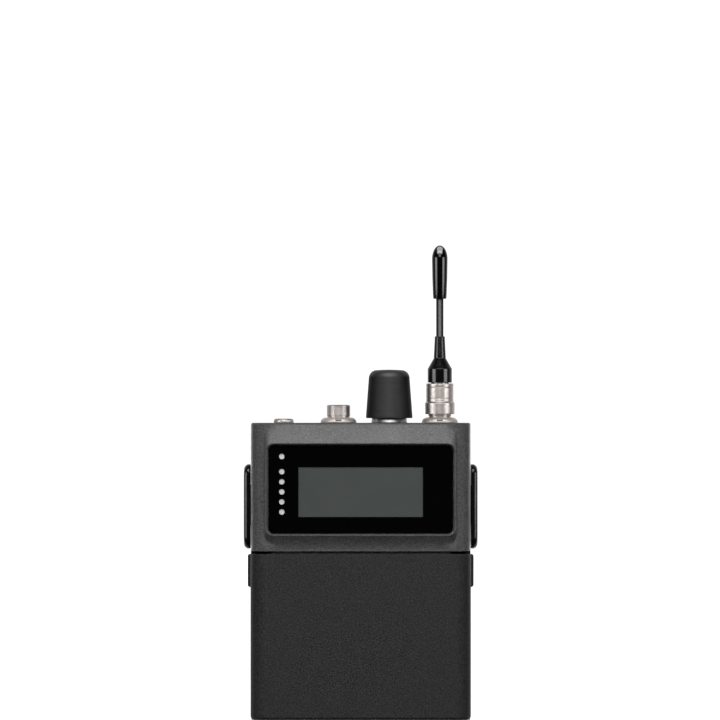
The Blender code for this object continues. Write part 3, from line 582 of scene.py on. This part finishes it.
def crease_group():
    """Geometry nodes that keep edges sharper than SHARP_DEGREES sharp."""
    group = bpy.data.node_groups.new("keep_creases", "GeometryNodeTree")
    group.interface.new_socket("Geometry", in_out="INPUT", socket_type="NodeSocketGeometry")
    group.interface.new_socket("Geometry", in_out="OUTPUT", socket_type="NodeSocketGeometry")
    entry = group.nodes.new("NodeGroupInput")
    leave = group.nodes.new("NodeGroupOutput")
    angle = group.nodes.new("GeometryNodeInputMeshEdgeAngle")
    compare = group.nodes.new("FunctionNodeCompare")
    compare.operation = "GREATER_THAN"
    compare.inputs[1].default_value = math.radians(SHARP_DEGREES)
    shade = group.nodes.new("GeometryNodeSetShadeSmooth")
    shade.domain = "EDGE"
    shade.inputs["Shade Smooth"].default_value = False
    group.links.new(angle.outputs[0], compare.inputs[0])
    group.links.new(entry.outputs[0], shade.inputs["Geometry"])
    group.links.new(compare.outputs[0], shade.inputs["Selection"])
    group.links.new(shade.outputs[0], leave.inputs[0])
    return group


def refine(node, look, edge_mm):
    """Gives a CAD node its look, joined faces, smooth round stretches and edges bevelled by edge_mm."""
    piece = frame["nodes"][node]
    mesh = piece.data
    for name in ("custom_normal", "sharp_edge", "sharp_face"):
        if name in mesh.attributes:
            mesh.attributes.remove(mesh.attributes[name])
    mesh.materials.clear()
    mesh.materials.append(look)
    weld = piece.modifiers.new("weld", "WELD")
    weld.merge_threshold = 1e-6
    flat = piece.modifiers.new("flat_faces", "DECIMATE")
    flat.decimate_type = "DISSOLVE"
    flat.angle_limit = math.radians(0.5)
    if edge_mm:
        bevel = piece.modifiers.new("fine_edges", "BEVEL")
        bevel.width = edge_mm * MM
        bevel.segments = 2
        bevel.limit_method = "ANGLE"
        bevel.angle_limit = math.radians(38)
        bevel.harden_normals = False
    crease = piece.modifiers.new("creases", "NODES")
    crease.node_group = creases
    shade_large_faces_flat(piece)
    return piece


# Turned pieces -----------------------------------------------------------------------------------


def wave(turns):
    """A triangle wave in -1 to 1, with one period for each whole turn."""
    return 4 * abs(turns - math.floor(turns + 0.5)) - 1


def thread_relief(first, last):
    """A right-handed screw thread between two heights, fading in and out over one pitch."""

    def relief(angle, radius, z):
        fade = min(1.0, max(0.0, (z - first) / THREAD_PITCH), max(0.0, (last - z) / THREAD_PITCH))
        return -THREAD_DEPTH * fade * (1 - wave(z / THREAD_PITCH - angle / math.tau)) / 2

    return relief


def make_threaded(node, inner_r, neck_r, look):
    """A threaded collar, such as the microphone connector's, with a flange under the top panel."""
    centre = middle(node)
    low, high = span(node, "z")
    flange_r = outer_radius(node)
    thread_r = THREAD_R[node]
    start = span("chassis", "z")[1] + 2.1
    flange_low, flange_high = 82.0, 84.7
    profile = [(inner_r, low), (neck_r, low), (neck_r, flange_low), (flange_r, flange_low)]
    profile += [(flange_r, flange_high), (neck_r, flange_high), (neck_r, start - 0.15)]
    profile += [(thread_r, start), (thread_r, high - 0.28), (thread_r - 0.25, high)]
    profile += [(inner_r + 0.2, high), (inner_r, high - 0.2)]
    profile = divided(profile, THREAD_PITCH / 8, start - 0.01, high - 0.27)
    thread = thread_relief(start, high - 0.3)

    def relief(angle, radius, z):
        return thread(angle, radius, z) if radius > neck_r + 0.01 and z > start else 0.0

    shape = lathe(profile, centre, TURNED_SEGMENTS, relief)
    return add_piece(f"{node}_turned", shape, look, "housing", (node,))


def make_knob(look):
    """The knob, hollow below, with fine ribs round its side."""
    centre = middle("knob")
    low, high = span("knob", "z")
    radius = outer_radius("knob")
    shoulder_r, round_r = radius - 0.85, 2.4
    shaft_r, shaft_top, skirt_top = 2.0, high - 2.8, 91.0
    curve = arc((shoulder_r - round_r, high - round_r - 0.12), round_r, 4, 80, 16)
    profile = [(0.0, shaft_top), (shaft_r, shaft_top), (shaft_r, skirt_top), (5.4, skirt_top)]
    profile += [(5.55, low + 0.12)]
    profile += [(5.67, low), (radius - 0.3, low), (radius - 0.06, low + 0.08), (radius, low + 0.3)]
    profile += [*curve, (shaft_r, high - 0.03), (0.0, high)]
    profile = divided(profile, 0.07, low + 0.29, high - round_r)
    ribs_from, ribs_to = low + 0.8, high - round_r - 0.4

    def relief(angle, r, z):
        inside = ribs_from < z < ribs_to and r > 5.7
        return -0.018 * (1 - math.cos(math.tau * (z - ribs_from) / 0.42)) if inside else 0.0

    shape = lathe(profile, centre, TURNED_SEGMENTS, relief)
    return add_piece("knob_cap", shape, look, "knob", ("knob",))


def make_knob_ring(look):
    """The silver collar under the knob, with a sloping side."""
    centre = middle("knob_collar")
    low, high = span("knob_collar", "z")
    radius = outer_radius("knob_collar")
    seat = span("chassis", "z")[1] + 0.05
    profile = [(2.45, low), (3.3, low), (3.3, seat), (radius - 0.1, seat), (radius, seat + 0.1)]
    profile += [(radius - 0.25, seat + 1.5), (4.55, high), (2.45, high)]
    shape = lathe(softened(profile, 0.12), centre)
    return add_piece("knob_collar_turned", shape, look, "housing", ("knob_collar",))


def make_jack_ring(look):
    centre = middle("jack_collar")
    low, high = span("jack_collar", "z")
    radius = outer_radius("jack_collar")
    seat = span("chassis", "z")[1] + 0.05
    profile = [(1.8, low), (2.2, low), (2.2, seat), (radius, seat), (radius, high - 0.42)]
    profile += [(radius - 0.3, high - 0.05), (radius - 0.62, high), (2.15, high), (1.8, high - 0.3)]
    shape = lathe(softened(profile, 0.14, 5), centre)
    return add_piece("jack_collar_turned", shape, look, "housing", ("jack_collar",))


def spanner_slot(centre, direction, span_z):
    """A cutter for one slot of a ring nut, on the side that direction points to."""
    reach = (4.3, 7.0)
    spans = []
    for share, place in zip(direction, (centre.x, centre.y)):
        ends = (share * reach[0], share * reach[1]) if share else (-SLOT_HALF_W, SLOT_HALF_W)
        spans.append((place + min(ends), place + max(ends)))
    return block(*spans, span_z)


def make_slotted_nut(node, look, painted_slot_shade_look):
    """A low ring nut with a domed shoulder and four spanner slots, whose cut faces take a much darker nickel
    as painted shade.
    """
    centre = middle(node)
    seat, top = span(node, "z")
    radius = outer_radius(node)
    profile = [(3.75, seat), (radius - 0.1, seat), (radius, seat + 0.08), (radius, seat + 0.5)]
    profile += [(radius - 0.14, seat + 0.84), (radius - 0.38, seat + 1.13), (radius - 0.8, seat + 1.4)]
    profile += [(radius - 1.2, seat + 1.5), (3.95, seat + 1.52), (3.75, seat + 1.4)]
    shape = lathe(softened(profile, 0.22, 5), centre, TURNED_SEGMENTS)
    nut = add_piece(f"{node}_turned", shape, look, "housing", (node,))
    slot_z = (seat + 0.45, top + 1.0)
    directions = ((1, 0), (-1, 0), (0, 1), (0, -1))
    carve(nut, [spanner_slot(centre, direction, slot_z) for direction in directions], painted_slot_shade_look)
    return nut


def make_coupling_nut(look):
    """The antenna's coupling nut: a plain grip band, and fine grooves between two rims."""
    centre = middle("antenna_nut")
    low, high = span("antenna_nut", "z")
    radius = outer_radius("antenna_nut")
    rim_r = radius - 0.33
    groove_r = rim_r - 0.09
    waist = (low + 4.6, high - 1.15)
    profile = [(3.65, low), (radius - 0.15, low), (radius, low + 0.15), (radius, low + 3.25)]
    profile += [(rim_r, low + 3.68)]
    for z in waist:
        profile += [(rim_r, z - 0.12), (groove_r, z - 0.08), (groove_r, z + 0.08), (rim_r, z + 0.12)]
    profile += [(rim_r, high - 0.15), (rim_r - 0.15, high), (2.85, high), (2.85, low + 6.1)]
    profile += [(3.65, low + 6.1)]
    profile = divided(softened(profile, 0.05), 0.07, waist[0] + 0.1, waist[1] - 0.1)

    def relief(angle, r, z):
        grooved = waist[0] + 0.15 < z < waist[1] - 0.15 and r >= rim_r - 0.02
        return -0.006 * (1 + wave(z / 0.58)) if grooved else 0.0

    shape = lathe(profile, centre, TURNED_SEGMENTS, relief)
    return add_piece("antenna_nut_turned", shape, look, "antenna_nut", ("antenna_nut",))


def make_boot(look):
    """The stepped sleeve at the antenna's foot."""
    centre = middle("antenna_boot")
    low, high = span("antenna_boot", "z")
    radius = outer_radius("antenna_boot")
    profile = [(0.0, low + 2.8), (2.72, low + 2.8), (2.72, low), (radius - 0.08, low)]
    profile += [(radius, low + 0.15), (radius, low + 4.05), (1.78, low + 7.1), (1.47, high - 0.12)]
    profile += [(1.4, high), (1.2, high), (1.2, low + 5.7), (0.0, low + 5.7)]
    shape = lathe(softened(profile, 0.08, 5), centre)
    return add_piece("antenna_boot_turned", shape, look, "antenna", ("antenna_boot",))


def make_whip(look):
    centre = middle("antenna_whip")
    low, high = span("antenna_whip", "z")
    radius = outer_radius("antenna_whip")
    profile = [(0.0, low), (radius, low), (radius, high), (0.0, high)]
    shape = lathe(softened(profile, 0.15), centre, 64)
    return add_piece("antenna_whip_turned", shape, look, "antenna", ("antenna_whip",))


def make_tip(look):
    """The round-nosed cap, widest near its top."""
    centre = middle("antenna_tip")
    low, high = span("antenna_tip", "z")
    radius = outer_radius("antenna_tip")
    nose_h = 4.0
    nose = [(radius * u, high - nose_h + nose_h * v) for u, v in arc((0, 0), 1.0, 0, 90, 24)]
    profile = [(0.0, low + 5.6), (1.2, low + 5.6), (1.2, low + 0.1), (1.3, low), (radius - 0.55, low)]
    profile += [(radius - 0.33, low + 0.2), (radius - 0.27, low + 1.2), (radius - 0.1, low + 6.0)]
    profile += [*nose[:-1], (0.0, high)]
    shape = lathe(profile, centre)
    return add_piece("antenna_tip_turned", shape, look, "antenna", ("antenna_tip",))


def make_latch_spring(node, look):
    """A coil spring of round wire over the length of its CAD node, riding on the door."""
    centre = middle(node)
    inner, outer = sorted(span(node, "x"), key=abs)
    end_gap = math.copysign(SPRING_WIRE_R, outer)
    bottom, top = span(node, "z")
    shape = coil(centre, inner + end_gap, outer - end_gap, (top - bottom) / 2 - SPRING_WIRE_R)
    piece = add_piece(f"{node}_coil", shape, look, "door", (node,))
    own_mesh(piece)


# Display window ----------------------------------------------------------------------------------


def make_window(glass, print_look):
    """A clear pane with a black print behind it, open over the screen and the status dots."""
    centre = middle("window_lens")
    front, back = span("window_lens", "y")
    left, right = span("window_lens", "x")
    bottom, top = span("window_lens", "z")

    def ring(inset):
        half_w, half_h = (right - left) / 2 - inset, (top - bottom) / 2 - inset
        return rounded_rect(half_w, half_h, 1.7 - inset, (centre.x, centre.z))

    split = front + GLASS_THICK
    pane = slab([(front, ring(0.08)), (front + 0.08, ring(0.0)), (split, ring(0.0))])
    add_piece("window_pane", pane, glass, "housing", ("window_lens",))
    sheet = slab([(split + 0.01, ring(0.0)), (back, ring(0.0))])
    mask = add_piece("window_print", sheet, print_look, "housing")
    opening = rounded_rect(*SCREEN_HALF, 0.12, (centre.x, centre.z + SCREEN_OFFSET_Z), 3)
    cutters = [slab([(split - 1, opening), (back + 1, opening)])]
    for x, z in dot_places():
        dot = arc((x, z), DOT_R, 0, 360, 40)[:-1]
        cutters.append(slab([(split - 1, dot), (back + 1, dot)]))
    carve(mask, cutters, print_look)


def dot_places():
    """The light guide's posts: one on its own above an even row of five."""
    x = middle("light_guide").x
    lens_z = middle("window_lens").z
    return [(x, lens_z + 9.61)] + [(x, lens_z - 6.53 + 2.93 * i) for i in range(5)]


# Stage -------------------------------------------------------------------------------------------


def add_softbox(name, azimuth, elevation, size, radiance, only=(), never=()):
    """A soft light aimed at the pack. Azimuth 0 is the camera's side and positive is towards +X.

    It lights just the pieces in only, as a small card held over them does, or all but those in never.
    """
    a, e = math.radians(azimuth), math.radians(elevation)
    direction = Vector((math.sin(a) * math.cos(e), -math.cos(a) * math.cos(e), math.sin(e)))
    light = bpy.data.lights.new(name, "AREA")
    light.shape = "RECTANGLE"
    light.size, light.size_y = size
    light.energy = radiance * size[0] * size[1] * math.pi
    lamp = bpy.data.objects.new(name, light)
    bpy.context.scene.collection.objects.link(lamp)
    target = Vector((0.0, 0.0, LIGHT_AIM_Z * MM))
    lamp.location = target + direction * LIGHT_DISTANCE
    lamp.rotation_euler = (-direction).to_track_quat("-Z", "Y").to_euler()
    lamp.visible_camera = False
    if only or never:
        linked = bpy.data.collections.new(f"{name}_linked")
        for piece in (*only, *never):
            linked.objects.link(piece)
        for entry in linked.collection_objects:
            entry.light_linking.link_state = "INCLUDE" if only else "EXCLUDE"
        lamp.light_linking.receiver_collection = linked


def add_backdrop():
    """White for the camera. For the part, dark in front and bright behind, as in an open light tent."""
    world = bpy.data.worlds.new("studio")
    bpy.context.scene.world = world
    world.use_nodes = True
    tree = world.node_tree
    background = tree.nodes["Background"]
    background.inputs["Color"].default_value = grey(1.0)
    seen = tree.nodes.new("ShaderNodeBackground")
    seen.inputs["Color"].default_value = grey(1.0)
    seen.inputs["Strength"].default_value = BACKDROP_SEEN
    place = tree.nodes.new("ShaderNodeTexCoord")
    split = tree.nodes.new("ShaderNodeSeparateXYZ")
    ramp = tree.nodes.new("ShaderNodeMapRange")
    ramp.inputs["From Min"].default_value = BACKDROP_DARK_Y
    ramp.inputs["From Max"].default_value = 1.0
    curve = tree.nodes.new("ShaderNodeMath")
    curve.operation = "POWER"
    curve.inputs[1].default_value = BACKDROP_RISE
    lift = tree.nodes.new("ShaderNodeMath")
    lift.inputs[1].default_value = BACKDROP_LEAST
    path = tree.nodes.new("ShaderNodeLightPath")
    mix = tree.nodes.new("ShaderNodeMixShader")
    tree.links.new(place.outputs["Generated"], split.inputs[0])
    tree.links.new(split.outputs["Y"], ramp.inputs["Value"])
    tree.links.new(ramp.outputs["Result"], curve.inputs[0])
    tree.links.new(curve.outputs[0], lift.inputs[0])
    tree.links.new(lift.outputs[0], background.inputs["Strength"])
    tree.links.new(path.outputs["Is Camera Ray"], mix.inputs[0])
    tree.links.new(background.outputs[0], mix.inputs[1])
    tree.links.new(seen.outputs[0], mix.inputs[2])
    tree.links.new(mix.outputs[0], tree.nodes["World Output"].inputs["Surface"])


def add_floor():
    """A plain pale floor, bright enough to meet the backdrop without a line."""
    look = Look("pale_floor", (0.85, 0.85, 0.85), 0.9)
    look.shader.inputs["Emission Color"].default_value = grey(1.0)
    look.shader.inputs["Emission Strength"].default_value = 1.2
    mesh = bpy.data.meshes.new("floor")
    half = 6.0
    corners = [(-half, -half, 0), (half, -half, 0), (half, half, 0), (-half, half, 0)]
    mesh.from_pydata(corners, [], [(0, 1, 2, 3)])
    mesh.materials.append(look.material)
    floor = bpy.data.objects.new("floor", mesh)
    bpy.context.scene.collection.objects.link(floor)
    floor.location.z = FLOOR_Z * MM
    floor.visible_diffuse = False
    floor.visible_glossy = False


def add_camera():
    camera = bpy.data.cameras.new("camera")
    camera.lens = LENS
    camera.sensor_width = SENSOR
    eye = bpy.data.objects.new("camera", camera)
    bpy.context.scene.collection.objects.link(eye)
    distance = PICTURE_MM * LENS / SENSOR
    eye.location = Vector((PICTURE_CENTRE[0], PICTURE_PLANE_Y - distance, PICTURE_CENTRE[1])) * MM
    eye.rotation_euler = (math.radians(90), 0, 0)
    camera.clip_start, camera.clip_end = 0.1, 20.0
    bpy.context.scene.camera = eye


# Assembly ----------------------------------------------------------------------------------------

creases = crease_group()

paint = housing_paint()
plastic = door_plastic()
inner_black = plain_plastic("inner_black", 0.02, 0.5)
polished = gloss_black("gloss_black", 0.004, 0.006, 0.13)
deep_black = gloss_black("deep_black", 0.0006, 0.0002, 0.06)
nickel = turned_metal("satin_nickel", (0.7, 0.645, 0.615), 0.4)
blasted_nickel = turned_metal("blasted_nickel", (0.8, 0.74, 0.7), 0.55)
# Much darker nickel for the cut faces of the spanner slots: painted shade in the slots.
nickel_painted_slot_shade = turned_metal("nickel_painted_slot_shade", (0.2, 0.185, 0.175), 0.5)
steel = turned_metal("satin_steel", (0.66, 0.66, 0.67), 0.45)
dark_steel = turned_metal("dark_steel", (0.16, 0.16, 0.165), 0.38)
gold = fine_metal("gold_plate", (0.83, 0.62, 0.26), 0.25)
sheet_metal = fine_metal("tinned_sheet", (0.6, 0.6, 0.59), 0.32)
milky = milky_clear()

# Each material slot's look, and the width in millimetres of its fine bevels
LOOKS_OF_SLOTS = {
    "housing_grey": (paint, 0.1),
    "door_black": (plastic, 0.1),
    "soft_black": (inner_black, 0.0),
    "gloss_black": (polished, 0.15),
    "lens_black": (polished, 0.0),
    "panel_grey": (screen_glass(), 0.0),
    "light_pipe": (milky, 0.0),
    "nickel": (nickel, 0.0),
    "gold": (gold, 0.0),
    "steel": (steel, 0.0),
    "board_green": (circuit_board(), 0.0),
    "battery_grey": (battery_case(), 0.15),
    "seal_rubber": (rubber(), 0.0),
}
OWN_LOOKS = {"rf_shield": sheet_metal} | {f"plate_screw_{i}": dark_steel for i in range(1, 5)}

for entry in frame["record"]["subparts"]:
    node_look, node_edge = LOOKS_OF_SLOTS[entry["material_slot"]]
    refine(entry["node"], OWN_LOOKS.get(entry["node"], node_look), node_edge)

make_window(window_glass(), printed_black())
knob = make_knob(soft_touch())
knob_ring = make_knob_ring(steel)
make_jack_ring(nickel)
for nut_node in ("mic_ring_nut", "antenna_ring_nut"):
    make_slotted_nut(nut_node, blasted_nickel, nickel_painted_slot_shade)
make_threaded("mic_shell", 2.6, 3.3, nickel)
make_threaded("antenna_socket", 2.5, 3.2, nickel)
coupling_nut = make_coupling_nut(nickel)
boot = make_boot(polished)
make_whip(whip_coating())
antenna_tip = make_tip(deep_black)
make_latch_spring("latch_spring_left", steel)
make_latch_spring("latch_spring_right", steel)

chassis = frame["nodes"]["chassis"]
grained_names = ("chassis", "rear_plate", "battery_door", "latch_left", "latch_right")
grained = [frame["nodes"][name] for name in grained_names]
bright_banded = (coupling_nut, boot, antenna_tip)
not_boxed = (*grained, knob_ring)

# The boxes light the smooth pieces, the panels stand in for them on the grained ones, and the cards
# and bands each brighten a few pieces
for side_name, side_sign in (("left", -1), ("right", 1)):
    aside = 57 * side_sign
    add_softbox(f"box_{side_name}", aside, 4, (1.2, 0.42), 4.2, never=not_boxed)
    add_softbox(f"panel_{side_name}", aside, 4, (1.2, 0.42), 2.0, only=grained)
    add_softbox(f"rim_{side_name}", 150 * side_sign, 0, (0.8, 1.2), 3.4, only=(chassis,))
    add_softbox(f"band_{side_name}", aside, 0, (0.9, 0.42), 1.3, only=bright_banded)
add_softbox("box_top", 0, 40, (2.4, 0.8), 5.4, never=not_boxed)
add_softbox("panel_top", 0, 40, (2.4, 0.8), 7.6, only=grained)
add_softbox("box_low", 0, 20, (1.1, 0.45), 3.6)
add_softbox("card_over_tip", 0, 68, (3.4, 2.6), 8.5, only=(antenna_tip,))
add_softbox("card_over_knob", 0, 62, (1.6, 0.6), 9.5, only=(knob,))
add_softbox("card_before_ring", 0, 25, (2.6, 0.6), 3.6, only=(knob_ring,))

bpy.context.scene.view_settings.view_transform = "Standard"
add_backdrop()
add_floor()
add_camera()
